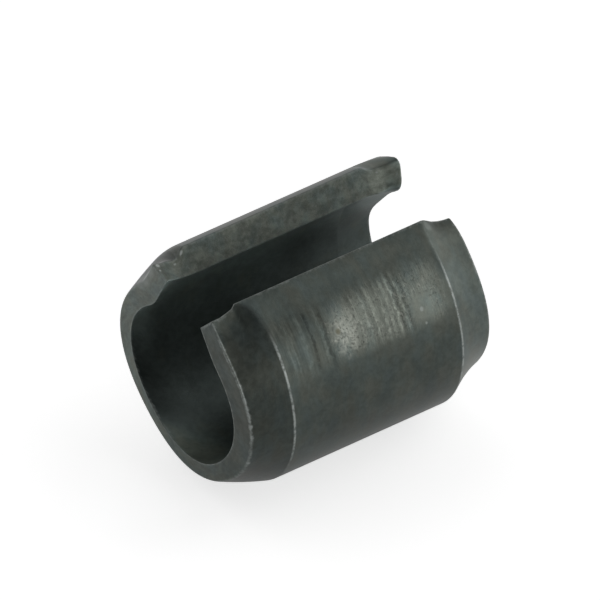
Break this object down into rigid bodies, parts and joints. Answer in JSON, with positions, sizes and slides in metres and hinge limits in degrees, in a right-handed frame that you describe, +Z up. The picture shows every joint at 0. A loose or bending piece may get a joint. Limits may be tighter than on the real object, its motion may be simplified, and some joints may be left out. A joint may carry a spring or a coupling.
{
  "type": "spring roll pin",
  "caption": "Slotted spring roll pin: a short C-section tube of dark spring steel, open along its length by a slot, with pressed-in tapered ends.",
  "frame": {"origin": "under the middle of the pin's length, on the surface that it lies on, below the barrel's axis", "axes": "+X along the pin's axis, towards its shorter pressed end; +Z up, through the middle of the slot; +Y completes the frame, towards the slot's rear lip"},
  "size_m": [0.01, 0.0086, 0.0084],
  "materials": {
    "spring_steel": "hardened and tempered spring steel with a dark grey, slightly green oil-black oxide, soft sheen, rubbed lighter on the barrel and edges"
  },
  "bodies": {
    "root": {"spring_pin": "spring_steel"}
  },
  "joints": []
}
